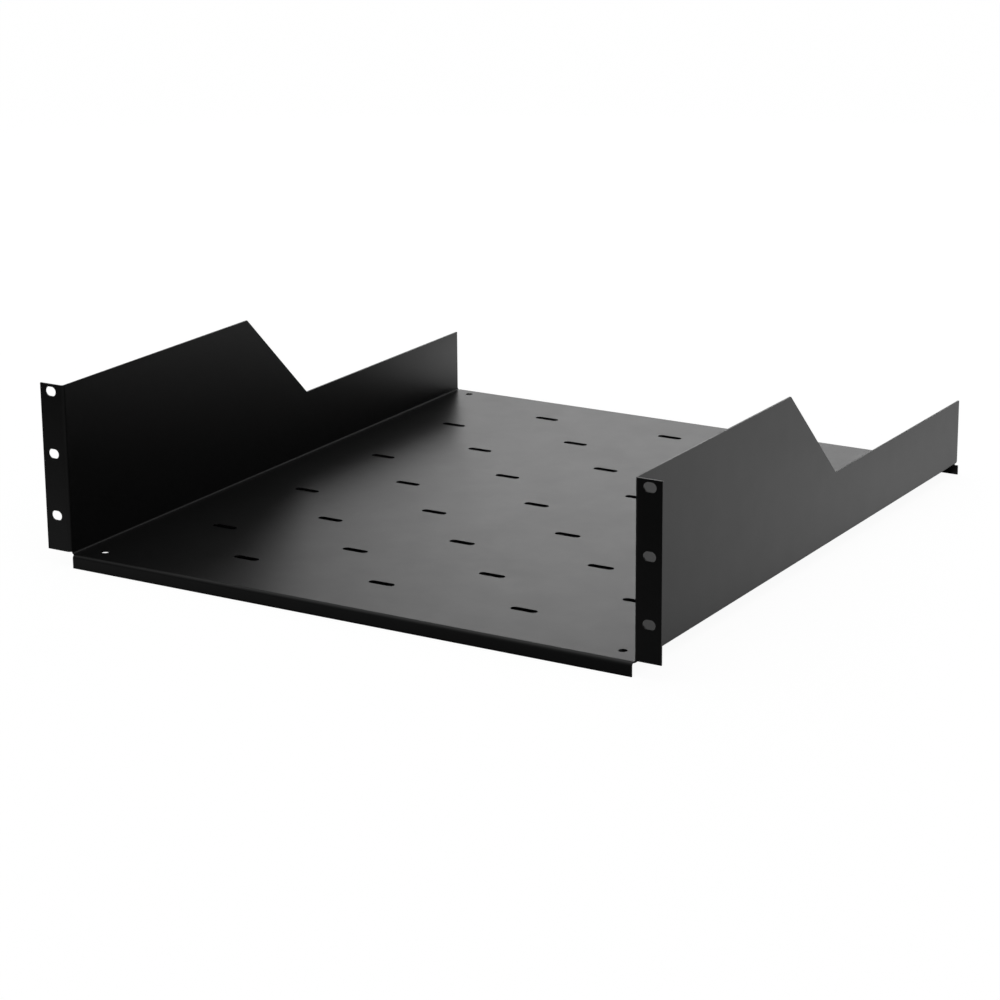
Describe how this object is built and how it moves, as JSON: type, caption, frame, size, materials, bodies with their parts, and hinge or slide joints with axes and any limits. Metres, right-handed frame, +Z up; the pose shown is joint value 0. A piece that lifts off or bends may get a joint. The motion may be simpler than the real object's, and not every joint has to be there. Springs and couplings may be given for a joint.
{
  "type": "rack shelf",
  "caption": "Open folded-steel shelf for an equipment rack, with a slotted pan, stepped side walls and front ears.",
  "frame": {"origin": "bottom centre of the bounding box, on the surface that the front and rear lips rest on", "axes": "+X across the rack, +Y from the mounting ears towards the back, +Z up"},
  "size_m": [0.4826, 0.515, 0.1306],
  "materials": {
    "black_powder_coat": "fine-textured semi-gloss black powder coat"
  },
  "bodies": {
    "root": {"shelf": "black_powder_coat"}
  },
  "joints": []
}
